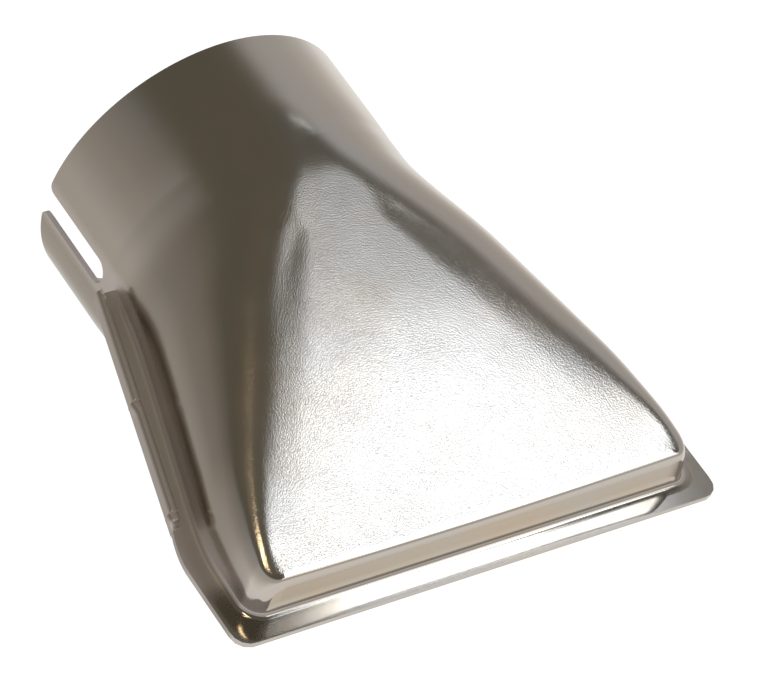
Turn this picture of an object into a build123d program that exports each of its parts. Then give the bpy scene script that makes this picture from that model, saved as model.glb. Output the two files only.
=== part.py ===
"""Surface nozzle for a hot-air gun: two pressed sheet-steel half shells, hemmed together.

Millimetres. The origin is on the collar's axis, in the plane of its rear rim. The tube runs along Y,
with the mouth towards -Y, +X to the right seen from the mouth, and +Z up. The joint between the two
half shells, and the flange that faces the work, lie in the plane z = 0.
A "reach" is a distance from the rear rim towards the mouth.
"""

import math
import os

from build123d import *

SHEET = 0.6  # thickness of the pressed sheet
COLLAR_RADIUS = 17.6  # outside of the collar, so its bore is 34 mm
COLLAR_REACH = 12.0  # straight part of the collar
SLIT_HALF_HEIGHT = 1.5  # the spring slit on each side of the collar
SLIT_REACH = 11.5

# Stations along the body: reach, half width at the flange, half width of the flat top, and fullness
# of the shoulder (2 is an ellipse, more is squarer).
STATIONS = [
    (COLLAR_REACH, COLLAR_RADIUS, 0.0, 2.0),
    (16.0, 17.7, 1.2, 2.05),
    (20.0, 18.4, 3.9, 2.2),
    (26.0, 20.05, 8.4, 2.5),
    (32.0, 21.85, 11.9, 2.7),
    (38.0, 23.65, 15.3, 3.0),
    (44.0, 25.35, 19.0, 3.4),
    (49.0, 26.3, 22.1, 3.5),
    (54.6, 26.5, 24.3, 3.6),
]
FINE_STEPS = 180  # steps along a shoulder before its points are spaced evenly
CURVE_POINTS = 22  # points on each side's curve
STATION_STEP = 1.7

FALL_START = 13.2  # where the straight falls of both shells would leave the tube
UPPER_FALL = 0.3  # the flat top facet drops by this much for each unit of reach
LOWER_FALL = 0.36
WALL_REACH = 54.6  # outer face of the front wall
WALL_CORNER = 2.0  # upright corners at the ends of the front wall
RIDGE_RADIUS = 0.45

# The lower shell rises from the tube's depth to a shallow front, behind the mouth window.
LOWER_WALL_REACH = 41.6
LOWER_FLANGE_REACH = 44.0

FLANGE_HALF_WIDTH = 29.05
FLANGE_REACH = 57.15
FLANGE_CORNER = 1.8
FLANGE_REAR = 13.6  # reach at which the side flanges start
FLARE_REACH = 47.5  # from here to the front the flange's sides are parallel

HEM_REAR_HALF_WIDTH = 19.8
HEM_SLOPE = 0.28  # widening of the hem line for each unit of reach
HEM_END = 42.6
HEM_PLAY = 0.05
LIP_WIDTH = 0.95  # how far the folded lip covers the upper flange
LIP_START = 15.6
CRIMP_REACHES = (28.2, 41.7)  # middles of the two crimps on each side
CRIMP_LENGTH = 1.5
CRIMP_PROUD = 0.3  # how far a crimp stands out of the hem line

SIDES = (-1, 1)


def falling_height(reach, fall):
    """Height above the flange plane: the tube's radius, bending evenly into a straight fall."""
    ease = FALL_START - COLLAR_REACH
    if reach < COLLAR_REACH:
        return COLLAR_RADIUS
    if reach < FALL_START + ease:
        return COLLAR_RADIUS - fall * (reach - COLLAR_REACH) ** 2 / (4 * ease)
    return COLLAR_RADIUS - fall * (reach - FALL_START)


def hem_half_width(reach):
    """Half width of the hem's outer face, which widens evenly along the reach."""
    return HEM_REAR_HALF_WIDTH + HEM_SLOPE * (reach - FLANGE_REAR)


def station_plane(reach):
    """The upright plane across the tube at a reach, with the sketch's Y along +Z."""
    return Plane(origin=(0, -reach, 0), x_dir=(1, 0, 0), z_dir=(0, -1, 0))


def section_outline(half_width, flat, height, fullness):
    """The right half of a section, finely divided: foot of the wall, shoulder, then the flat top."""
    points = []
    for step in range(FINE_STEPS + 1):
        angle = math.radians(90 * step / FINE_STEPS)
        across = abs(math.cos(angle)) ** (2 / fullness)
        up = math.sin(angle) ** (2 / fullness)
        points.append((flat + (half_width - flat) * across, height * up))
    return points + [(0.0, height)]


def evenly_spaced(points, count):
    """The points along an open outline that divide its length evenly."""
    lengths = [0.0]
    for start, end in zip(points, points[1:]):
        lengths.append(lengths[-1] + math.dist(start, end))
    spaced = []
    segment = 0
    for step in range(count):
        target = lengths[-1] * step / (count - 1)
        while segment < len(points) - 2 and lengths[segment + 1] < target:
            segment += 1
        run = lengths[segment + 1] - lengths[segment]
        along = (target - lengths[segment]) / run if run else 0.0
        start, end = points[segment], points[segment + 1]
        spaced.append(tuple(a + (b - a) * along for a, b in zip(start, end)))
    return spaced


def body_section(half_width, flat, height, fullness):
    """A closed section standing on the flange plane: wall, shoulder and flat top, both sides."""
    right = evenly_spaced(section_outline(half_width, flat, height, fullness), CURVE_POINTS)
    left = [(-x, z) for x, z in reversed(right)]
    base = Line(left[-1], right[0])
    right_curve = Spline(*right, tangents=[(0, 1), (-1, 0)])
    left_curve = Spline(*left, tangents=[(-1, 0), (0, -1)])
    return make_face([right_curve, left_curve, base])


def sheet_section(half_width, flat, height, fullness):
    """The sheet's own section: the outer curve, the inner one, and the two edges on the flange plane."""
    outer = body_section(half_width, flat, height, fullness)
    inner = body_section(half_width - SHEET, flat, height - SHEET, fullness)
    return outer_to_inner(outer, inner)


def outer_to_inner(outer, inner):
    """A bridge-shaped face between two faces that both stand on the flange plane."""
    curves = outer.edges().filter_by(GeomType.LINE, reverse=True)
    curves += inner.edges().filter_by(GeomType.LINE, reverse=True)
    outer_base = outer.edges().filter_by(GeomType.LINE)[0]
    inner_base = inner.edges().filter_by(GeomType.LINE)[0]
    feet = []
    for side in SIDES:
        foot = Line((side * inner_base.length / 2, 0), (side * outer_base.length / 2, 0))
        feet.append(foot)
    return make_face([*curves, *feet])


def collar_section():
    """The half ring of the collar."""
    rings = []
    for radius in (COLLAR_RADIUS, COLLAR_RADIUS - SHEET):
        quarters = [CenterArc((0, 0), radius, 0, 90), CenterArc((0, 0), radius, 90, 90)]
        rings.append(make_face([*quarters, Line((-radius, 0), (radius, 0))]))
    return outer_to_inner(*rings)


def station_at(reach):
    """Half width, flat and fullness at a reach, on a smooth curve through the stations."""
    last = len(STATIONS) - 2
    index = max(i for i in range(last + 1) if i == 0 or STATIONS[i][0] <= reach)
    before, start = STATIONS[max(index - 1, 0)], STATIONS[index]
    end, after = STATIONS[index + 1], STATIONS[min(index + 2, last + 1)]
    span = end[0] - start[0]
    t = (reach - start[0]) / span
    values = []
    for item in (1, 2, 3):
        slope_in = (end[item] - before[item]) / (end[0] - before[0]) * span
        slope_out = (after[item] - start[item]) / (after[0] - start[0]) * span
        steady = (2 * t**3 - 3 * t**2 + 1) * start[item] + (3 * t**2 - 2 * t**3) * end[item]
        turning = (t**3 - 2 * t**2 + t) * slope_in + (t**3 - t**2) * slope_out
        values.append(steady + turning)
    return values


def stations_to(front):
    """Close stations from the collar to a front wall, pulled in to round its upright corners."""
    corner_start = front - WALL_CORNER
    count = round((corner_start - COLLAR_REACH) / STATION_STEP)
    reaches = [COLLAR_REACH + (corner_start - COLLAR_REACH) * i / count for i in range(count + 1)]
    reaches += [corner_start + share * (WALL_CORNER - SHEET) for share in (0.5, 1.0)]
    stations = []
    for reach in reaches:
        half_width, flat, fullness = station_at(reach)
        forward = max(reach - corner_start, 0)
        pulled_in = WALL_CORNER - math.sqrt(WALL_CORNER**2 - forward**2)
        stations.append((reach, half_width - pulled_in, flat - pulled_in, fullness))
    return stations


def half_body(fall, front):
    """The sheet of one half, from the straight collar with its slits to the closed front wall."""
    stations = stations_to(front)
    sections = [station_plane(COLLAR_REACH) * collar_section()]
    for reach, half_width, flat, fullness in stations[1:]:
        face = sheet_section(half_width, max(flat, 0), falling_height(reach, fall), fullness)
        sections.append(station_plane(reach) * face)
    reach, half_width, flat, fullness = stations[-1]
    wall_face = body_section(half_width, flat, falling_height(reach, fall), fullness)
    wall = extrude(station_plane(reach) * wall_face, SHEET)
    ridge = wall.faces().sort_by(Axis.Y)[0].edges().filter_by(GeomType.LINE, reverse=True)
    collar = extrude(station_plane(0) * collar_section(), COLLAR_REACH) - slit_cutter()
    return collar + loft(sections, ruled=True) + fillet(ridge, RIDGE_RADIUS)


def plate(outline, low, high):
    """A flat plate of an outline between two heights."""
    return Pos(0, 0, low) * extrude(outline, high - low)


def cavity_outline(front):
    """The plan of the body's middle surface, left open at the rear, to be cut out of a flange."""
    right = [(COLLAR_RADIUS - SHEET / 2, 0.0)]
    for reach, half_width, _, _ in stations_to(front):
        right.append((half_width - SHEET / 2, -reach))
    right.append((right[-1][0], -front + SHEET / 2))
    left = [(-x, y) for x, y in reversed(right)]
    return make_face(Polyline(*right, *left, close=True))


def upper_flange_outline():
    """The upper flange: inside the hem at the rear, then flared out to the mouth's own rim."""
    inset = SHEET + HEM_PLAY
    hidden = [(hem_half_width(r) - inset, -r) for r in (FLANGE_REAR, HEM_END + HEM_PLAY)]
    flare_start = (hem_half_width(HEM_END) + HEM_PLAY, -HEM_END - HEM_PLAY)
    flare_end = (FLANGE_HALF_WIDTH, -FLARE_REACH)
    front = (FLANGE_HALF_WIDTH, -FLANGE_REACH)
    edges = []
    for side in SIDES:
        rear_point, hem_point = [(side * x, y) for x, y in hidden]
        start = (side * flare_start[0], flare_start[1])
        end = (side * flare_end[0], flare_end[1])
        corner = (side * front[0], front[1])
        edges += [
            Line(rear_point, hem_point),
            Line(hem_point, start),
            Spline(start, end, tangents=[(side * HEM_SLOPE, -1), (0, -1)]),
            Line(end, corner),
        ]
    rear = Line((-hidden[0][0], hidden[0][1]), hidden[0])
    front_line = Line((-front[0], front[1]), front)
    outline = make_face([*edges, rear, front_line])
    corners = outline.vertices().sort_by(Axis.Y)[:2]
    return fillet(corners, FLANGE_CORNER)


def slit_cutter():
    """The round-ended slit through both sides of the collar, open at the rear rim."""
    end = SLIT_REACH - SLIT_HALF_HEIGHT
    width = 4 * COLLAR_RADIUS
    slot = Pos(0, -end / 2 + 1, 0) * Box(width, end + 2, 2 * SLIT_HALF_HEIGHT)
    return slot + Pos(0, -end, 0) * Rot(0, 90, 0) * Cylinder(SLIT_HALF_HEIGHT, width)


def upper_shell():
    """Half collar, body with its flat sloping top, closed front wall, and the flange round it."""
    outline = upper_flange_outline() - cavity_outline(WALL_REACH)
    return half_body(UPPER_FALL, WALL_REACH) + plate(outline, 0, SHEET)


def hem(side):
    """The lower flange's edge, folded up round the upper flange and back over it, with its crimps."""
    def band(inward, outward, start, end, low, high):
        points = [
            (side * (hem_half_width(start) - inward), -start),
            (side * (hem_half_width(start) + outward), -start),
            (side * (hem_half_width(end) + outward), -end),
            (side * (hem_half_width(end) - inward), -end),
        ]
        return plate(make_face(Polyline(*points, close=True)), low, high)

    fold = band(SHEET, 0, FLANGE_REAR, HEM_END, -SHEET, 2 * SHEET)
    fold += band(LIP_WIDTH, 0, LIP_START, HEM_END, SHEET, 2 * SHEET)
    for middle in CRIMP_REACHES:
        start = middle - CRIMP_LENGTH / 2
        fold += band(SHEET, CRIMP_PROUD, start, start + CRIMP_LENGTH, -SHEET, 2 * SHEET)
    return fold


def lower_shell():
    """Half collar, body rising to its own low front wall, flange behind the mouth, and both hems."""
    right = [(hem_half_width(reach), -reach) for reach in (FLANGE_REAR, HEM_END, LOWER_FLANGE_REACH)]
    left = [(-x, y) for x, y in reversed(right)]
    outline = make_face(Polyline(*right, *left, close=True)) - cavity_outline(LOWER_WALL_REACH)
    shell = half_body(LOWER_FALL, LOWER_WALL_REACH) + plate(outline, 0, SHEET)
    shell = mirror(shell, Plane.XY)
    for side in SIDES:
        shell += hem(side)
    return shell


os.makedirs("parts", exist_ok=True)
for name, make in (("upper_shell", upper_shell), ("lower_shell", lower_shell)):
    solid = make()
    print(name, len(solid.solids()), round(solid.volume, 1), solid.bounding_box())
    export_step(solid, f"parts/{name}.step")
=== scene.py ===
"""Looks of a hot-air gun's surface nozzle: two pressed, nickel-plated half shells, hemmed together.

Sizes are in millimetres in this script and become metres where a mesh is made. The frame is the
model's: Y along the tube with the mouth towards -Y, Z up, the flange plane at z = 0. A "reach" is a
distance from the collar's rear rim towards the mouth. Each face of a half shell is made of loops of
points that run from its left side round the front to its right side, the outermost on the flange's edge
and the innermost round the flat top, and of a patch of rows over that top. An "inset" is how far a face
lies inside the sheet's outer face.
"""

import math

import bmesh
import bpy
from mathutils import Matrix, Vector


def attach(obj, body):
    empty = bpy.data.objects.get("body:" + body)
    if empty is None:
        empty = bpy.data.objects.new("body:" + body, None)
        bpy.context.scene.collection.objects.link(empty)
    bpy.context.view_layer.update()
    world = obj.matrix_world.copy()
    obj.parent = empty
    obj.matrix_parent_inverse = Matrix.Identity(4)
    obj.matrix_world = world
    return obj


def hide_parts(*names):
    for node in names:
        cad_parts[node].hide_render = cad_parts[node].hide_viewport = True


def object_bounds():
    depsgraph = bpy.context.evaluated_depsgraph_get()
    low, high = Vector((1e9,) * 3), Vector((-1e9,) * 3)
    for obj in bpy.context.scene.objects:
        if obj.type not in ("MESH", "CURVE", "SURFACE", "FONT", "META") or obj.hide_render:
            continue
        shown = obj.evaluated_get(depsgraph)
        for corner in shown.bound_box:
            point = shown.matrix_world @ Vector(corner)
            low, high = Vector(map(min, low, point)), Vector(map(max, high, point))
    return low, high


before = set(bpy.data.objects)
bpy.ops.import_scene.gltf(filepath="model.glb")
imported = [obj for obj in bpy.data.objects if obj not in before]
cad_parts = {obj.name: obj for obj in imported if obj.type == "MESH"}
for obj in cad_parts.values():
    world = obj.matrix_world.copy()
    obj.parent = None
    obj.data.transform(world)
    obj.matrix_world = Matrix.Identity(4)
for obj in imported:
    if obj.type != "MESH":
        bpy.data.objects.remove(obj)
cad_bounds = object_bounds()

MM = 0.001
SHEET = 0.6  # the sheet's thickness

COLLAR_RADIUS = 17.6
COLLAR_REACH = 12.0
SLIT_HALF_HEIGHT = 1.5
SLIT_REACH = 11.5
SLIT_CORNER = 0.8  # radius of the slit's corners at the rim
WALL_REACH = 54.6

# Reach, half width at the flange, half width of the flat, and fullness of the shoulder.
STATIONS = [
    (COLLAR_REACH, COLLAR_RADIUS, 0.0, 2.0),
    (16.0, 17.7, 1.2, 2.05),
    (20.0, 18.4, 3.9, 2.2),
    (26.0, 20.05, 8.4, 2.5),
    (32.0, 21.85, 11.9, 2.7),
    (38.0, 23.65, 15.3, 3.0),
    (44.0, 25.35, 19.0, 3.4),
    (49.0, 26.3, 22.1, 3.5),
    (WALL_REACH, 26.5, 24.3, 3.6),
]
FALL_START = 13.2
BEND_EASE = 5.0  # the neck's bend runs this far to each side of the fall's start
WALL_DRAFT = 0.06  # the walls lean in by this much for each unit of height
DRAFT_START = 40.0
DRAFT_GROWTH = 8.0  # past its start the draft grows over this reach
WALL_CORNER = 2.0  # plan radius of the upright corners
CORNER_SHRINK = 0.4  # the corner's radius is this much less round the top patch
RIDGE_RADIUS = 0.45
LEAST_RADIUS = 0.12  # of the ridge, on the sheet's inner face

# The top is dished towards the mouth.
DISH_START = 30.0
DISH_HALF_WIDTH = 24.0

# Behind the mouth the borders of the flat top are eased down.
CROWN = 0.15
CROWN_START = 18.0
CROWN_GROWTH = 8.0
CROWN_STOP = 12.6  # the easing dies away from this far behind the front wall
CROWN_FADE = 10.0
CROWN_HALF_WIDTH = 6.0  # it takes the flat to be at least this wide to each side
CROWN_NECK_SHARE = 0.8  # share of the flat's width that it takes at the neck
CROWN_WIDENING = (20.0, 20.0)  # it widens to the whole flat from this reach, over this reach
CROWN_INSIDE = 0.8  # it starts at this share of that width
CROWN_SPAN = 0.5  # and is full when this much further out
DIPPED_SHARE = 0.75  # dish and crown act on a section above this share of its height

# The foot is the hollow curve between a wall and the flange.
FOOT_RADIUS = 0.7
SIDE_FOOT = 0.45  # its height on the sides
FOOT_GROWTH = 3.5  # it grows to that over this reach, forward from the flange's start
FOOT_OFFSET = 0.4  # the foot starts to grow this far behind the flange's start, the flare this far past it
FOOT_FLARE = 0.35  # the side walls swing out by this much towards their feet
FLARE_HEIGHT = 0.8  # height in which the flare shrinks to a third
FLARE_GROWTH = 4.0
FRONT_CHANGE = (45.0, 6.0)  # the sides' foot turns into the front's from this reach, over this reach

FLANGE_HALF_WIDTH = 29.05
FLANGE_REACH = 57.15
FLANGE_CORNER = 1.8
FLANGE_REAR = 13.6  # the side flanges start at this reach
FLARE_REACH = 47.5  # past the hem the flange widens up to this reach
FLARE_POWER = 1.75  # on a curve of this power

HEM_REAR_HALF_WIDTH = 19.8  # to the hem's outer face, at the flanges' start
HEM_SLOPE = 0.28  # how much wider it gets for each unit of reach
HEM_END = 42.6
HEM_PLAY = 0.05  # between the fold and the flange inside it
BEND = 0.42  # outer radius of the hem's bends
HEM_RUN_OUT = 0.9  # the fold sinks to the flange over this reach at its front end
HEM_LEAST = 0.03  # and still stands this much above the flange there
HEM_ROOT = 0.5  # its section starts and ends this far inside the bend
ROOT_DEPTH = 0.04  # and this deep in the flange, so that no two faces share a plane
FACE_FOOT = 0.2  # the hem's upright face stands straight from this height
FOLD_THINNING = 0.05  # the folded sheet is this much thinner than the flat one
FOLD_LEAST = 0.02  # least height of the fold's inside above the flange plane
LIP_WIDTH = 0.95
LIP_THICKNESS = 0.55
LIP_THINNED = 0.1  # its thickness where the fold has run out
LIP_ROUND = 0.08  # its edge is rounded over this width
LIP_DROP = 0.06  # and this height
LIP_FACE = 0.4  # height of its cut edge
LIP_START = 15.2  # the lip opens behind this reach
LIP_SHORTENED = 0.45  # the lip is this much narrower at its rear end
LIP_RAISED = 0.35  # and stands open this high
LIP_MIDDLE = 0.6  # with this share of that height in the middle of its width
CRIMP_REACHES = (27.4, 40.9)  # where each crimp's cut lies
CRIMP_LENGTH = 1.7
CRIMP_PROUD = 0.26  # how far a crimp pushes the hem's face out
CRIMP_SUNK = 0.15  # and its top down
CUT_RAMP = 0.08  # reach that the step at a cut takes up

# Slope of the top, reaches of the front wall and the flange's edge, depth of the dish, and direction.
UPPER = {"fall": 0.3, "wall": WALL_REACH, "flange": FLANGE_REACH, "dish": 0.5, "up": 1}
LOWER = {"fall": 0.36, "wall": 41.6, "flange": 44.0, "dish": 0.0, "up": -1}

# The room's light by the height of a direction (-1 is down, 1 is up), behind and on its pale side.
BACK_SIDE = [
    (-0.85, (0.50, 0.47, 0.43)),
    (-0.6, (0.46, 0.43, 0.39)),
    (-0.25, (0.30, 0.275, 0.245)),
    (0.2, (0.24, 0.21, 0.175)),
    (0.6, (0.145, 0.13, 0.10)),
    (1.0, (0.135, 0.12, 0.09)),
]
PALE_SIDE = [
    (-0.85, (0.92, 0.90, 0.87)),
    (-0.3, (0.98, 0.95, 0.92)),
    (0.0, (0.66, 0.63, 0.59)),
    (0.3, (0.54, 0.52, 0.50)),
    (0.62, (0.52, 0.51, 0.52)),
    (0.67, (0.40, 0.39, 0.38)),
    (0.72, (0.20, 0.19, 0.17)),
    (0.77, (0.14, 0.13, 0.11)),
    (1.0, (0.135, 0.12, 0.09)),
]
PALE_START = 1.73  # the pale side's share is this, and this much more along each axis of the plan
PALE_SLOPE = (0.45, -1.8, 0.0)

CAMERA_PLACE = (-0.25333, -0.25602, 0.33759)  # in metres
CAMERA_TURN = (43.317, -15.794, -32.609)  # in degrees
CAMERA_LENS = 228.07
SENSOR_WIDTH = 36.0

COOL_LIGHT = (0.86, 0.92, 1.0)
WHITE_LIGHT = (1.0, 0.97, 0.91)
LAMP_LIGHT = (1.0, 0.78, 0.5)
SOFTBOX_HEIGHT = 0.4
# Name, place in the plan and size in metres, turn in degrees, power in watts, colour.
SOFTBOXES = [
    ("main_softbox", (0.261, -0.18), (0.05, 0.24), 9, 0.225, COOL_LIGHT),
    ("upper_softbox", (0.239, -0.035), (0.045, 0.092), 40, 0.025, COOL_LIGHT),
    ("fill_softbox", (0.37, -0.48), (0.34, 0.25), 0, 0.3, WHITE_LIGHT),
    ("flange_softbox", (0.306, 0.181), (0.088, 0.012), -4, 0.0058, COOL_LIGHT),
    ("far_softbox", (0.313, -0.245), (0.04, 0.11), 9, 0.065, COOL_LIGHT),
    ("warm_lamp", (-0.07, -0.03), (0.15, 0.05), 0, 0.13, LAMP_LIGHT),
]

WARM_NICKEL = (0.565, 0.52, 0.465, 1)
COOL_NICKEL = (0.55, 0.525, 0.49, 1)
# Painted sheen: a pale lavender colour, paler than nickel, that stands in for the room's light mirrored on
# the scuffed flange and hems.
SCUFFED_AND_SHEEN_NICKEL = (0.9, 0.85, 0.86, 1)
# Noise cells to the millimetre, and heights of the bumps that they make.
TINT_CELLS = 0.09
SMEAR_CELLS = 0.25
WAVE_CELLS = 0.5
WAVE_HEIGHT = 0.0012
GRAIN_CELLS = 6.8
GRAIN_STRETCH = (0.9, 1, 1)
GRAIN_HEIGHT = 0.012
GRAIN_STRENGTH = (0.05, 0.9)  # where the sheet was stretched least, and most
# Heights, on either side of the flange plane, and reaches between which each finish sets in.
DRAWN_HEIGHTS = (1.2, 2.4)
DRAWN_REACHES = (54.2, 53.4)
STRETCHED_REACHES = (11.0, 20.0)
# The scuffed finish is real dullness, and its pale colour is a painted sheen.
SCUFF_AND_SHEEN_HEIGHTS = (3.0, 1.6)
SCUFF_AND_SHEEN_REACHES = (53.0, 49.0)
# Roughness of each finish.
SATIN = (0.15, 0.18)  # the drawn sheet's drifts between these
BRIGHT = 0.09
DULL = 0.42

FLOOR_HALF_SIZE = 3.0  # in metres
FLOOR_GAP = 0.02

# How finely the surfaces are divided.
BAND_STEPS = 26  # loops from the wall's foot to the border of the top patch
BAND_DEPTH = 3.0  # how far the loops run in over the top behind the front ridge
BAND_MOVED = 8.0  # the side's rows start to draw back this far past the collar
SIDE_SHARE = 0.5  # share of the half section that the loops take up at the collar
LOST_SHARE = 0.24  # and how much less it is at the front wall
FOOT_STEPS = 7
FLANGE_STEPS = 4
EDGE_STEPS = 11  # points of the flange's edge past the side's rows
ARC_STEPS = 12  # and of its corner
CORNER_STEPS = 10  # quads of a loop round each front corner
FRONT_STEPS = 44  # and along its straight front
RIDGE_STEPS = 8  # points of the ridge's curve, and as many of the top behind it
FLAT_STEPS = 24  # points of a section's flat
FINE_STEPS = 160  # points of a section's wall and shoulder
HEM_STEPS = 90
CRIMP_STEPS = 8
RIM_REACHES = [0.0, 0.04, 0.12, 0.25, 0.5, 1.0]  # rows close behind the rim
ROW_STEP = 0.6
STEP_GAP = 0.01  # a row lies this far to each side of a sudden step
LEAST_GAP = 0.012  # rows nearer than this become one
MERGE_DISTANCE = 0.002  # vertices nearer than this become one
THIN_EDGE = 0.001
SHARP_ANGLE = 40  # in degrees
ROUNDING = 1e-9


def clamp(value, low=0.0, high=1.0):
    """The value held between two limits."""
    return max(low, min(high, value))


def smooth(value):
    """A smooth step from 0 to 1."""
    value = clamp(value)
    return value * value * (3 - 2 * value)


def station_at(reach):
    """Half width, flat and fullness at a reach, on a smooth curve through the stations."""
    if reach <= COLLAR_REACH:
        return list(STATIONS[0][1:])
    last = len(STATIONS) - 2
    index = max(i for i in range(last + 1) if STATIONS[i][0] <= reach)
    before, start = STATIONS[max(index - 1, 0)], STATIONS[index]
    end, after = STATIONS[index + 1], STATIONS[min(index + 2, last + 1)]
    span = end[0] - start[0]
    t = (reach - start[0]) / span
    values = []
    for item in (1, 2, 3):
        slope_in = (end[item] - before[item]) / (end[0] - before[0]) * span
        slope_out = (after[item] - start[item]) / (after[0] - start[0]) * span
        steady = (2 * t**3 - 3 * t**2 + 1) * start[item] + (3 * t**2 - 2 * t**3) * end[item]
        turning = (t**3 - 2 * t**2 + t) * slope_in + (t**3 - t**2) * slope_out
        values.append(steady + turning)
    return values


def top_height(reach, fall):
    """Height of the top at a reach: the tube's radius, bending evenly into a straight fall."""
    into_bend = reach - (FALL_START - BEND_EASE)
    if into_bend <= 0:
        return COLLAR_RADIUS
    if into_bend < 2 * BEND_EASE:
        return COLLAR_RADIUS - fall * into_bend**2 / (4 * BEND_EASE)
    return COLLAR_RADIUS - fall * (reach - FALL_START)


def dip_at(shell, reach):
    """How far the top lies below its plane at a reach, as a function of x.

    Its borders are eased down a little behind, and it is dished near the mouth.
    """
    dished = shell["dish"] * smooth((reach - DISH_START) / (shell["wall"] - DISH_START))
    fading = 1 - smooth((reach - shell["wall"] + CROWN_STOP) / CROWN_FADE)
    crowned = CROWN * smooth((reach - CROWN_START) / CROWN_GROWTH) * fading
    start, run = CROWN_WIDENING
    share = CROWN_NECK_SHARE + (1 - CROWN_NECK_SHARE) * smooth((reach - start) / run)
    border = max(station_at(reach)[1], CROWN_HALF_WIDTH) * share

    def dip(x):
        across = max(1 - (x / DISH_HALF_WIDTH) ** 2, 0.0)
        return dished * across + crowned * smooth((abs(x) / border - CROWN_INSIDE) / CROWN_SPAN)

    return dip


def hem_half_width(reach):
    """Half width of the hem's outer face."""
    return HEM_REAR_HALF_WIDTH + HEM_SLOPE * (reach - FLANGE_REAR)


def has_flange(reach):
    """Whether the side flange exists at a reach."""
    return reach > FLANGE_REAR


def turned_to_front(reach):
    """How far the sides' foot has turned into the front's at a reach, from 0 to 1."""
    start, run = FRONT_CHANGE
    return smooth((reach - start) / run)


def foot_radius(reach):
    """Radius of the curve between wall and flange, which grows from nothing."""
    if not has_flange(reach):
        return 0.0
    full = SIDE_FOOT + (FOOT_RADIUS - SIDE_FOOT) * turned_to_front(reach)
    return full * smooth((reach - FLANGE_REAR + FOOT_OFFSET) / FOOT_GROWTH)


def foot_flare(reach, above):
    """How far the side wall swings out, and its slope there, at a height above its foot's curve."""
    grown = smooth((reach - FLANGE_REAR - FOOT_OFFSET) / FLARE_GROWTH) * (1 - turned_to_front(reach))
    flare = FOOT_FLARE * grown * math.exp(-max(above, 0.0) / FLARE_HEIGHT)
    return flare, flare / FLARE_HEIGHT


def slit_height(reach):
    """Height at which the half tube's edge lies, clear of the slit and its rounded corners."""
    end = SLIT_REACH - SLIT_HALF_HEIGHT
    if reach < SLIT_CORNER:
        return SLIT_HALF_HEIGHT + SLIT_CORNER - math.sqrt(SLIT_CORNER**2 - (SLIT_CORNER - reach) ** 2)
    if reach <= end:
        return SLIT_HALF_HEIGHT
    if reach < SLIT_REACH:
        return math.sqrt(max(SLIT_HALF_HEIGHT**2 - (reach - end) ** 2, 0.0))
    return 0.0


def running_lengths(points):
    """The length of an outline up to each of its points."""
    lengths = [0.0]
    for start, end in zip(points, points[1:]):
        lengths.append(lengths[-1] + math.dist(start, end))
    return lengths


def resample(points, shares):
    """Points at given shares of an open outline's length."""
    lengths = running_lengths(points)
    spaced = []
    segment = 0
    for share in shares:
        target = lengths[-1] * share
        while segment < len(points) - 2 and lengths[segment + 1] < target:
            segment += 1
        run = lengths[segment + 1] - lengths[segment]
        along = (target - lengths[segment]) / run if run else 0.0
        start, end = points[segment], points[segment + 1]
        spaced.append([a + (b - a) * along for a, b in zip(start, end)])
    return spaced


def side_outline(shell, reach, inset):
    """The section's right half from the wall's foot to the middle of the top, as (x, z)."""
    half_width, flat, fullness = station_at(reach)
    height = top_height(reach, shell["fall"]) - inset
    half_width -= inset
    flat = max(flat, 0.0)
    if has_flange(reach):
        low = SHEET - inset + foot_radius(reach) + inset * smooth((reach - FLANGE_REAR) / FOOT_GROWTH)
    else:
        low = slit_height(reach)
    start = math.asin(clamp(low / height) ** (fullness / 2))
    drafted = smooth((reach - DRAFT_START) / DRAFT_GROWTH)
    points = []
    for step in range(FINE_STEPS + 1):
        angle = start + (math.pi / 2 - start) * step / FINE_STEPS
        across = abs(math.cos(angle)) ** (2 / fullness)
        up = math.sin(angle) ** (2 / fullness)
        x = flat + (half_width - flat) * across
        x -= WALL_DRAFT * max(height * up - low, 0) * drafted * across
        x += foot_flare(reach, height * up - low)[0] if has_flange(reach) else 0.0
        points.append((x, height * up))
    points += [(flat * (1 - step / FLAT_STEPS), height) for step in range(1, FLAT_STEPS + 1)]
    dip = dip_at(shell, reach)
    dipped = [smooth((z / height - DIPPED_SHARE) / (1 - DIPPED_SHARE)) for _, z in points]
    return [(x, z - dip(x) * share) for (x, z), share in zip(points, dipped)]


def surface_height(shell, x, reach, inset):
    """Height of the top at a point of the plan."""
    outline = side_outline(shell, reach, inset)
    for near, far in zip(outline, outline[1:]):
        if far[0] <= x <= near[0] and near[0] > far[0]:
            share = (x - far[0]) / (near[0] - far[0])
            return far[1] + (near[1] - far[1]) * share
    return outline[0][1]


def inner_share(reach, wall):
    """Share of a section's length at which the band of loops ends and the top patch begins."""
    return SIDE_SHARE - LOST_SHARE * smooth((reach - COLLAR_REACH) / (wall - COLLAR_REACH))


def front_outline(shell, x, inset):
    """The front's profile at x, as (reach, z): wall, ridge, then back over the top."""
    wall = shell["wall"] - inset
    radius = max(RIDGE_RADIUS - inset, LEAST_RADIUS)
    turn = math.pi / 2 - math.atan(shell["fall"])
    low = SHEET + FOOT_RADIUS
    lean = WALL_DRAFT * (top_height(wall, shell["fall"]) - inset - low)
    middle = wall - lean - radius

    def top(reach):
        return top_height(reach, shell["fall"]) - inset - dip_at(shell, reach)(x)

    last = middle + radius * math.cos(turn)
    middle_z = top(last) - radius * math.sin(turn)
    points = [(wall, low)]
    for step in range(RIDGE_STEPS + 1):
        angle = turn * step / RIDGE_STEPS
        points.append((middle + radius * math.cos(angle), middle_z + radius * math.sin(angle)))
    for step in range(1, RIDGE_STEPS + 1):
        reach = last - BAND_DEPTH * step / RIDGE_STEPS
        points.append((reach, top(reach)))
    return points


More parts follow.
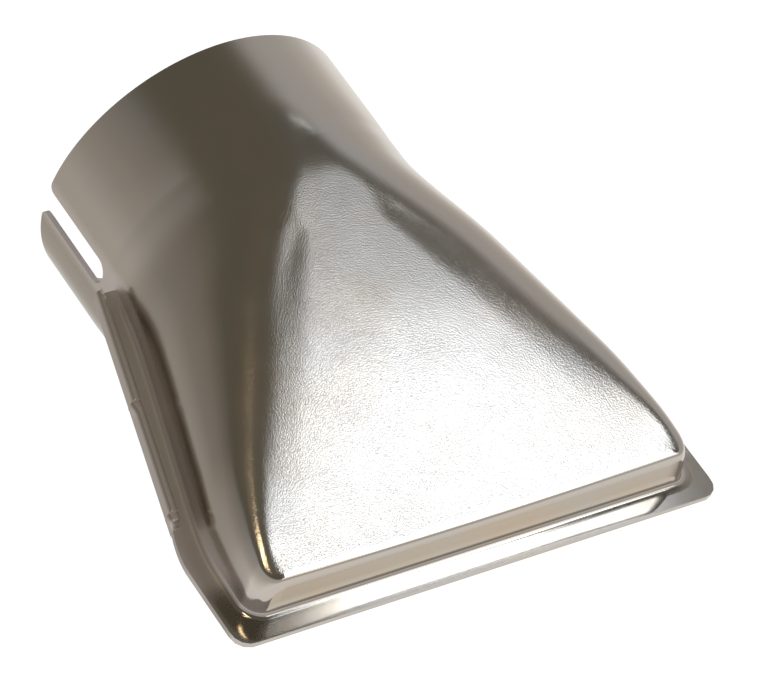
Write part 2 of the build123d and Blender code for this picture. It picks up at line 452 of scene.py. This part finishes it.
def flange_edge(shell, reach):
    """Half width of the side flange's outer edge."""
    if shell is LOWER:
        return hem_half_width(min(reach, HEM_END)) - BEND
    if reach <= HEM_END:
        return hem_half_width(reach) - SHEET - HEM_PLAY
    share = clamp((reach - HEM_END) / (FLARE_REACH - HEM_END))
    start = hem_half_width(HEM_END)
    return start + (FLANGE_HALF_WIDTH - start) * (1 - (1 - share) ** FLARE_POWER)


def side_reaches(shell):
    """Reaches of the side's rows, with close rows at the rim, the slit's end and the sudden steps."""
    end = shell["wall"] - WALL_CORNER
    marks = [*RIM_REACHES, end]
    for edge in (FLANGE_REAR, HEM_END):
        marks += [edge - STEP_GAP, edge + STEP_GAP]
    slit_end = SLIT_REACH - SLIT_HALF_HEIGHT
    marks += [slit_end + SLIT_HALF_HEIGHT * math.sin(math.radians(angle)) for angle in range(0, 91, 9)]
    even = RIM_REACHES[-1]
    count = int((end - even) / ROW_STEP)
    marks += [even + (end - even) * index / count for index in range(1, count)]
    marks = sorted(mark for mark in marks if mark <= end)
    kept = [marks[0]]
    for mark in marks[1:]:
        if mark - kept[-1] > LEAST_GAP:
            kept.append(mark)
    return kept


def corner_arc(middle, radii, heights):
    """Points round a front corner, between its side end and its front end, as (x, reach, z)."""
    points = []
    for step in range(1, CORNER_STEPS):
        angle = math.pi / 2 * step / CORNER_STEPS
        x = middle[0] + radii[0] * math.cos(angle)
        reach = middle[1] + radii[1] * math.sin(angle)
        points.append((x, reach, heights[0] + (heights[1] - heights[0]) * math.sin(angle)))
    return points


def front_run(shell, share, x_end, inset):
    """The right half of a loop's straight front, from the corner to the middle."""
    points = []
    for step in range(FRONT_STEPS // 2 + 1):
        x = x_end * (1 - 2 * step / FRONT_STEPS)
        reach, z = resample(front_outline(shell, x, inset), [share])[0]
        points.append((x, reach, z))
    return points


def band_loop(shell, rows, share, inset):
    """A loop of the wall, shoulder or ridge: share 0 is the wall's foot, 1 the top patch's border.

    The higher the loop, the more its corners settle on to the top.
    """
    back = (BAND_DEPTH - CORNER_SHRINK) * share**1.5
    first_moved = COLLAR_REACH + BAND_MOVED
    side = []
    for row in rows:
        reach = row - back * clamp((row - first_moved) / (rows[-1] - first_moved))
        outline = side_outline(shell, reach, inset)
        x, z = resample(outline, [share * inner_share(reach, shell["wall"])])[0]
        side.append((x, reach, z))
    x, reach, z = side[-1]
    x_radius = WALL_CORNER - CORNER_SHRINK * share
    front = front_run(shell, share, x - x_radius, inset)
    radii = (x_radius, front[0][1] - reach)
    corner = corner_arc((x - x_radius, reach), radii, (z, front[0][2]))
    on_top = smooth(share * 1.5 - 0.5)
    settled = []
    for x, reach, z in corner:
        top = surface_height(shell, x, reach, inset)
        settled.append((x, reach, z + (top - z) * on_top))
    return side, settled, front


def foot_loops(shell, foot, inset):
    """Loops from the wall's foot out to the flange's edge, nearest the wall first."""
    side, _, front = foot
    loops = []
    layer_z = SHEET - inset
    for step in range(1, FOOT_STEPS + 1):
        angle = math.pi / 2 * step / FOOT_STEPS
        new_side = []
        for x, reach, z in side:
            drop = z - layer_z if has_flange(reach) else 0.0
            lean = math.atan(foot_flare(reach, 0.0)[1])
            turned = lean + (math.pi / 2 - lean) * step / FOOT_STEPS
            radius = drop / (1 - math.sin(lean))
            out = radius * (math.cos(lean) - math.cos(turned))
            new_side.append((x + out, reach, z - radius * (math.sin(turned) - math.sin(lean))))
        radius = front[0][2] - layer_z
        out = radius * (1 - math.cos(angle))
        middle = (front[0][0], side[-1][1])
        radii = (new_side[-1][0] - middle[0], front[0][1] + out - middle[1])
        low = front[0][2] - radius * math.sin(angle)
        new_front = [(x, reach + out, z - radius * math.sin(angle)) for x, reach, z in front]
        loops.append((new_side, corner_arc(middle, radii, (new_side[-1][2], low)), new_front))
    return loops + flange_loops(shell, loops[-1], layer_z)


def flange_corner(shell, last, front_x):
    """The flange's edge from the last side row, round the corner, to the straight front."""
    outline = []
    outer_x = flange_edge(shell, shell["flange"])
    bend_at = shell["flange"] - FLANGE_CORNER
    for step in range(EDGE_STEPS + 1):
        reach = last + (bend_at - last) * step / EDGE_STEPS
        outline.append((flange_edge(shell, reach), reach))
    for step in range(1, ARC_STEPS + 1):
        angle = math.pi / 2 * step / ARC_STEPS
        x = outer_x - FLANGE_CORNER * (1 - math.cos(angle))
        outline.append((x, bend_at + FLANGE_CORNER * math.sin(angle)))
    return [*outline, (front_x, shell["flange"])]


def flange_loops(shell, start, height):
    """Loops over the flat flange, from the wall's foot to the flange's edge."""
    side, corner, front = start
    edge_side = []
    for x, reach, z in side:
        on_edge = (flange_edge(shell, reach), reach, height)
        edge_side.append(on_edge if has_flange(reach) else (x, reach, z))
    outline = flange_corner(shell, side[-1][1], front[0][0])
    shares = [step / CORNER_STEPS for step in range(1, CORNER_STEPS)]
    edge_corner = [(x, reach, height) for x, reach in resample(outline, shares)]
    edge_front = [(x, shell["flange"], height) for x, _, _ in front]
    loops = []
    for step in range(1, FLANGE_STEPS + 1):
        share = step / FLANGE_STEPS
        loop = []
        for near, far in ((side, edge_side), (corner, edge_corner), (front, edge_front)):
            pairs = zip(near, far)
            loop.append([tuple(a + (b - a) * share for a, b in zip(p, q)) for p, q in pairs])
        loops.append(tuple(loop))
    return loops


def mirrored(right):
    """A whole row from left to right, given its right half from the middle out."""
    return [(-x, reach, z) for x, reach, z in reversed(right[1:])] + right


def top_patch(shell, loop, inset):
    """The rows of the top inside the innermost loop, each a list of points from left to right."""
    side, corner, front = loop
    half = len(corner) // 2
    edge = side + corner[:half]
    front_half = corner[half:] + front
    widest = front_half[0][0]
    fractions = [point[0] / widest for point in reversed(front_half)]
    rows = []
    for x_edge, reach, z_edge in edge:
        outline = side_outline(shell, reach, inset)[::-1]
        lengths = running_lengths(outline)
        index = next(i for i, point in enumerate(outline) if point[0] >= x_edge - ROUNDING)
        share = (x_edge - outline[index - 1][0]) / (outline[index][0] - outline[index - 1][0])
        reached = lengths[index - 1] + share * (lengths[index] - lengths[index - 1])
        shares = [fraction * reached / lengths[-1] for fraction in fractions]
        right = [(x, reach, z) for x, z in resample(outline, shares)]
        right[-1] = (x_edge, reach, z_edge)
        rows.append(mirrored(right))
    rows.append(mirrored(front_half[::-1]))
    return rows


def sheet_layer(shell, inset):
    """All loops of one face of the sheet, outermost first, and the rows of its top patch."""
    rows = side_reaches(shell)
    shares = [step / BAND_STEPS for step in range(BAND_STEPS + 1)]
    band = [band_loop(shell, rows, share, inset) for share in shares]
    outer = foot_loops(shell, band[0], inset)[::-1]
    loops = []
    for side, corner, front in outer + band:
        loops.append(mirrored((side + corner + front)[::-1]))
    return loops, top_patch(shell, band[-1], inset)


def frame_point(point, up):
    """A point of a half shell, given as (x, reach, z), in the frame and in metres."""
    x, reach, z = point
    return Vector((x * MM, -reach * MM, z * MM * up))


def add_grid(mesh, rows, up):
    """Quads over rows of points. Returns the rows of vertices."""
    verts = [[mesh.verts.new(frame_point(point, up)) for point in row] for row in rows]
    for near, far in zip(verts, verts[1:]):
        for index in range(len(near) - 1):
            mesh.faces.new((near[index], near[index + 1], far[index + 1], far[index]))
    return verts


def join_edges(mesh, one, other):
    """A strip of quads between two equally long rows of vertices."""
    for index in range(len(one) - 1):
        mesh.faces.new((one[index], one[index + 1], other[index + 1], other[index]))


def add_shell(mesh, shell):
    """One half shell as a closed sheet: two layers, joined round their free edges."""
    free_edges = []
    for inset in (0.0, SHEET):
        loops, patch = sheet_layer(shell, inset)
        loop_verts = add_grid(mesh, loops, shell["up"])
        patch_verts = add_grid(mesh, patch, shell["up"])
        left = [loop[0] for loop in loop_verts]
        right = [loop[-1] for loop in reversed(loop_verts)]
        free_edges.append((loop_verts[0], left + patch_verts[0] + right))
    for outer, inner in zip(*free_edges):
        join_edges(mesh, outer, inner)


def crimp_push(reach):
    """How hard a crimp presses at a reach: at once at its cut, then fading."""
    for cut in CRIMP_REACHES:
        along = (reach - cut) / CRIMP_LENGTH
        if 0 <= along <= 1:
            return 1 - smooth(along)
    return 0.0


def arc_points(middle, radius, start, end, steps):
    """Points of an arc, with its angles in degrees."""
    points = []
    for step in range(steps + 1):
        angle = math.radians(start + (end - start) * step / steps)
        points.append((middle[0] + radius * math.cos(angle), middle[1] + radius * math.sin(angle)))
    return points


def hem_section(reach):
    """The folded edge's closed section, as (outward of the hem line, z)."""
    push = crimp_push(reach)
    proud = CRIMP_PROUD * push
    kept = smooth((HEM_END - reach) / HEM_RUN_OUT)
    top = SHEET + HEM_LEAST + (SHEET + HEM_PLAY - HEM_LEAST - CRIMP_SUNK * push) * kept
    opened = 1 - smooth((reach - FLANGE_REAR) / (LIP_START - FLANGE_REAR))
    lip = -LIP_WIDTH + LIP_SHORTENED * opened
    rise = LIP_RAISED * opened
    under = max(top - SHEET + FOLD_THINNING, FOLD_LEAST)
    thickness = LIP_THINNED + (LIP_THICKNESS - LIP_THINNED) * kept

    # From under the flange round the lower bend, up the face, and round the upper bend.
    points = [(-BEND - HEM_ROOT, ROOT_DEPTH - SHEET)]
    points += arc_points((-BEND, -SHEET + BEND), BEND, -90, 0, 5)
    points += [(proud, FACE_FOOT), *arc_points((proud - BEND, top - BEND), BEND, 0, 90, 6)]

    # Over the lip, round its edge, and back beneath it into the flange.
    points += [((lip - BEND) / 2, top + rise * LIP_MIDDLE), (lip + LIP_ROUND, top + rise)]
    points += [(lip, top + rise - LIP_DROP), (lip, top + rise - LIP_ROUND - LIP_FACE * kept)]
    points += [((lip - SHEET) / 2, top - thickness), (-SHEET, min(under, top - LIP_THINNED))]
    return points + [(-SHEET, 0.0), (-BEND - HEM_ROOT, -ROOT_DEPTH)]


def hem_reaches():
    """Reaches of the hem's sections: even, but closer along the crimps."""
    reaches = [FLANGE_REAR + (HEM_END - FLANGE_REAR) * step / HEM_STEPS for step in range(HEM_STEPS + 1)]
    for cut in CRIMP_REACHES:
        clear = cut - 2 * CUT_RAMP
        reaches = [reach for reach in reaches if not clear <= reach <= cut + CRIMP_LENGTH]
        reaches += [cut - CUT_RAMP, cut]
        reaches += [cut + CRIMP_LENGTH * step / CRIMP_STEPS for step in range(1, CRIMP_STEPS + 1)]
    return sorted({min(reach, HEM_END) for reach in [*reaches, HEM_END]})


def add_hem(mesh, side):
    """The lower shell's edge, folded up and over the upper flange along one side."""
    rings = []
    for reach in hem_reaches():
        line = hem_half_width(reach)
        points = [(side * (line + out), reach, z) for out, z in hem_section(reach)]
        rings.append([mesh.verts.new(frame_point(point, 1)) for point in points])
    for near, far in zip(rings, rings[1:]):
        join_edges(mesh, near + near[:1], far + far[:1])
    mesh.faces.new(rings[0])
    mesh.faces.new(rings[-1])


def finish_mesh(mesh, name, material):
    """The mesh as an object: closed, smooth, with its hard edges kept."""
    bmesh.ops.remove_doubles(mesh, verts=mesh.verts, dist=MERGE_DISTANCE * MM)
    bmesh.ops.dissolve_degenerate(mesh, edges=mesh.edges, dist=THIN_EDGE * MM)
    bmesh.ops.recalc_face_normals(mesh, faces=mesh.faces)
    data = bpy.data.meshes.new(name)
    mesh.to_mesh(data)
    mesh.free()
    data.polygons.foreach_set("use_smooth", [True] * len(data.polygons))
    data.set_sharp_from_angle(angle=math.radians(SHARP_ANGLE))
    data.materials.append(material)
    piece = bpy.data.objects.new(name, data)
    bpy.context.scene.collection.objects.link(piece)
    return piece


class Nodes:
    """Short calls for the nodes of a material or a world."""

    def __init__(self, tree):
        self.tree = tree

    def add(self, kind, inputs, **settings):
        """A node with its settings; an input is a socket to link or a plain value."""
        node = self.tree.nodes.new("ShaderNode" + kind)
        for name, value in settings.items():
            setattr(node, name, value)
        for name, value in inputs.items():
            self.give(node, name, value)
        return node

    def give(self, node, name, value):
        """Link a socket to an input, or set the input's value."""
        if isinstance(value, bpy.types.NodeSocket):
            self.tree.links.new(value, node.inputs[name])
        else:
            node.inputs[name].default_value = value

    def calculate(self, operation, first, second=0.0):
        """One step of arithmetic."""
        return self.add("Math", {0: first, 1: second}, operation=operation).outputs[0]

    def spread(self, value, low, high, out_low=0.0, out_high=1.0):
        """A value eased from one range to another."""
        ends = {"From Min": low, "From Max": high, "To Min": out_low, "To Max": out_high}
        return self.add("MapRange", {"Value": value, **ends}, interpolation_type="SMOOTHSTEP").outputs[0]

    def noise(self, position, cells, detail, stretch=(1, 1, 1)):
        """Noise with so many cells to the millimetre."""
        scaled = [cells / MM * factor for factor in stretch]
        mapped = self.add("Mapping", {"Vector": position, "Scale": scaled}).outputs[0]
        inputs = {"Vector": mapped, "Scale": 1.0, "Detail": detail}
        return self.add("TexNoise", inputs).outputs["Fac"]

    def mix_colour(self, share, first, second):
        """A colour between two."""
        return self.add("Mix", {0: share, 6: first, 7: second}, data_type="RGBA").outputs[2]

    def ramp(self, value, stops):
        """A colour ramp over a value from -1 to 1."""
        share = self.add("MapRange", {"Value": value, "From Min": -1.0}).outputs[0]
        node = self.add("ValToRGB", {0: share})
        elements = node.color_ramp.elements
        while len(elements) < len(stops):
            elements.new(0.5)
        for element, (place, colour) in zip(elements, stops):
            element.position = (place + 1) / 2
            element.color = (*colour, 1)
        return node.outputs[0]


def over_heights(nodes, place, heights):
    """A share that grows from 0 at one height to 1 at another, on either side of the flange plane."""
    height = nodes.calculate("ABSOLUTE", place.outputs["Z"])
    return nodes.spread(height, heights[0] * MM, heights[1] * MM)


def over_reaches(nodes, place, reaches):
    """A share that grows from 0 at one reach to 1 at another."""
    return nodes.spread(place.outputs["Y"], -reaches[0] * MM, -reaches[1] * MM)


def drawn_share(nodes, place):
    """How far the sheet was drawn: fully, save at the flanges, the hems and the front wall."""
    above_flange = over_heights(nodes, place, DRAWN_HEIGHTS)
    return nodes.calculate("MULTIPLY", above_flange, over_reaches(nodes, place, DRAWN_REACHES))


def scuffed_and_sheen_share(nodes, place):
    """Where the folding tool scuffed the plate, which also carries a painted pale sheen: on the hems and
    the flange beside and before them.
    """
    low = over_heights(nodes, place, SCUFF_AND_SHEEN_HEIGHTS)
    return nodes.calculate("MULTIPLY", over_reaches(nodes, place, SCUFF_AND_SHEEN_REACHES), low)


def plate_normal(nodes, position, place, facing, drawn):
    """Slow waves, under an orange-peel grain that stands highest on the stretched, sloping top."""
    on_top = nodes.spread(facing.outputs["Z"], 0.6, 0.95)
    past_neck = over_reaches(nodes, place, STRETCHED_REACHES)
    stretched = nodes.calculate("MULTIPLY", nodes.calculate("MULTIPLY", on_top, past_neck), drawn)
    strength = nodes.spread(stretched, 0.0, 1.0, *GRAIN_STRENGTH)
    wave = nodes.noise(position, WAVE_CELLS, detail=2.0)
    grain = nodes.noise(position, GRAIN_CELLS, detail=1.0, stretch=GRAIN_STRETCH)
    waved = nodes.add("Bump", {"Height": wave, "Distance": WAVE_HEIGHT * MM, "Strength": 1.0}).outputs[0]
    inputs = {"Height": grain, "Distance": GRAIN_HEIGHT * MM, "Strength": strength, "Normal": waved}
    return nodes.add("Bump", inputs).outputs[0]


def plate_colour(nodes, position, facing, scuffed_and_sheen):
    """Faint heat tints that drift from warm to cool, and a painted pale lavender sheen where the plate is
    scuffed, strongest on faces that look up.
    """
    drift = nodes.spread(nodes.noise(position, TINT_CELLS, detail=3.0), 0.35, 0.65)
    tint = nodes.mix_colour(drift, WARM_NICKEL, COOL_NICKEL)
    # Painted sheen: the pale colour is fullest on faces that look up, where the room's light would be
    # mirrored.
    level = nodes.spread(facing.outputs["Z"], 0.9, 0.98, 0.4, 1.0)
    return nodes.mix_colour(nodes.calculate("MULTIPLY", scuffed_and_sheen, level), tint, SCUFFED_AND_SHEEN_NICKEL)


def plate_roughness(nodes, position, drawn, scuffed_and_sheen):
    """Satin where the sheet was drawn, dull where it is scuffed, and bright on the rest."""
    satin = nodes.spread(nodes.noise(position, SMEAR_CELLS, detail=4.0), 0.3, 0.7, *SATIN)
    unscuffed = nodes.calculate("MAXIMUM", nodes.calculate("MULTIPLY", drawn, satin), BRIGHT)
    return nodes.calculate("MAXIMUM", unscuffed, nodes.calculate("MULTIPLY", scuffed_and_sheen, DULL))


def nickel(name):
    """Nickel plate on pressed sheet."""
    material = bpy.data.materials.new(name)
    material.use_nodes = True
    nodes = Nodes(material.node_tree)
    shader = material.node_tree.nodes["Principled BSDF"]
    coords = nodes.add("TexCoord", {})
    position = coords.outputs["Object"]
    place = nodes.add("SeparateXYZ", {0: position})
    facing = nodes.add("SeparateXYZ", {0: coords.outputs["Normal"]})
    drawn = drawn_share(nodes, place)
    scuffed_and_sheen = scuffed_and_sheen_share(nodes, place)
    shader.inputs["Metallic"].default_value = 1.0
    nodes.give(shader, "Normal", plate_normal(nodes, position, place, facing, drawn))
    # The base colour carries a painted pale sheen on the scuffed hems and flange.
    nodes.give(shader, "Base Color", plate_colour(nodes, position, facing, scuffed_and_sheen))
    nodes.give(shader, "Roughness", plate_roughness(nodes, position, drawn, scuffed_and_sheen))
    return material


def make_upper_shell():
    """The upper half shell."""
    mesh = bmesh.new()
    add_shell(mesh, UPPER)
    piece = finish_mesh(mesh, "upper_shell_pressing", nickel("upper_nickel"))
    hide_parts("upper_shell")
    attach(piece, "root")


def make_lower_shell():
    """The lower half shell with its hems."""
    mesh = bmesh.new()
    add_shell(mesh, LOWER)
    for side in (-1, 1):
        add_hem(mesh, side)
    piece = finish_mesh(mesh, "lower_shell_pressing", nickel("lower_nickel"))
    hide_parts("lower_shell")
    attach(piece, "root")


def pale_floor():
    """A matt surface, lit from within so that it stays evenly white."""
    material = bpy.data.materials.new("pale_floor")
    material.use_nodes = True
    shader = material.node_tree.nodes["Principled BSDF"]
    shader.inputs["Base Color"].default_value = (0.2, 0.2, 0.2, 1)
    shader.inputs["Roughness"].default_value = 0.8
    shader.inputs["Specular IOR Level"].default_value = 0.1
    shader.inputs["Emission Color"].default_value = (1, 1, 1, 1)
    shader.inputs["Emission Strength"].default_value = 1.0
    return material


def make_floor():
    """A wide pale floor under the object, which the metal doesn't mirror."""
    mesh = bmesh.new()
    bmesh.ops.create_grid(mesh, x_segments=1, y_segments=1, size=FLOOR_HALF_SIZE)
    data = bpy.data.meshes.new("floor")
    mesh.to_mesh(data)
    mesh.free()
    data.materials.append(pale_floor())
    floor = bpy.data.objects.new("floor", data)
    floor.location.z = cad_bounds[0][2] - FLOOR_GAP * MM
    floor.visible_glossy = False
    bpy.context.scene.collection.objects.link(floor)


def make_camera():
    """A long lens, above and to the left of the mouth, rolled a little."""
    camera = bpy.data.objects.new("camera", bpy.data.cameras.new("camera"))
    camera.location = CAMERA_PLACE
    camera.rotation_euler = [math.radians(angle) for angle in CAMERA_TURN]
    camera.data.lens = CAMERA_LENS
    camera.data.sensor_width = SENSOR_WIDTH
    camera.data.clip_start = 0.01
    bpy.context.scene.collection.objects.link(camera)
    bpy.context.scene.camera = camera


def add_softbox(name, place, size, turn, power, colour):
    """A soft rectangular light over a place in the plan, that faces straight down, turned about Z."""
    light = bpy.data.lights.new(name, "AREA")
    light.shape = "RECTANGLE"
    light.size, light.size_y = size
    light.energy = power
    light.color = colour
    lamp = bpy.data.objects.new(name, light)
    lamp.location = (*place, SOFTBOX_HEIGHT)
    lamp.rotation_euler.z = math.radians(turn)
    bpy.context.scene.collection.objects.link(lamp)


def studio_world():
    """The room: dark overhead and behind, paler towards and below the horizon and on its sides."""
    world = bpy.data.worlds.new("studio")
    world.use_nodes = True
    nodes = Nodes(world.node_tree)
    direction = nodes.add("TexCoord", {}).outputs["Generated"]
    height = nodes.add("SeparateXYZ", {0: direction}).outputs["Z"]
    level = nodes.add("VectorMath", {0: direction, 1: (1, 1, 0)}, operation="MULTIPLY").outputs[0]
    heading = nodes.add("VectorMath", {0: level}, operation="NORMALIZE").outputs[0]
    along = nodes.add("VectorMath", {0: heading, 1: PALE_SLOPE}, operation="DOT_PRODUCT").outputs["Value"]
    share = nodes.add("Math", {0: along, 1: PALE_START}, use_clamp=True).outputs[0]
    colour = nodes.mix_colour(share, nodes.ramp(height, BACK_SIDE), nodes.ramp(height, PALE_SIDE))
    nodes.give(world.node_tree.nodes["Background"], "Color", colour)
    bpy.context.scene.world = world


def make_lights():
    """Soft studio light: softboxes where the sloping top, the flange and the front wall mirror them."""
    studio_world()
    for softbox in SOFTBOXES:
        add_softbox(*softbox)
    bpy.context.scene.view_settings.view_transform = "Standard"


make_camera()
make_upper_shell()
make_lower_shell()
make_floor()
make_lights()
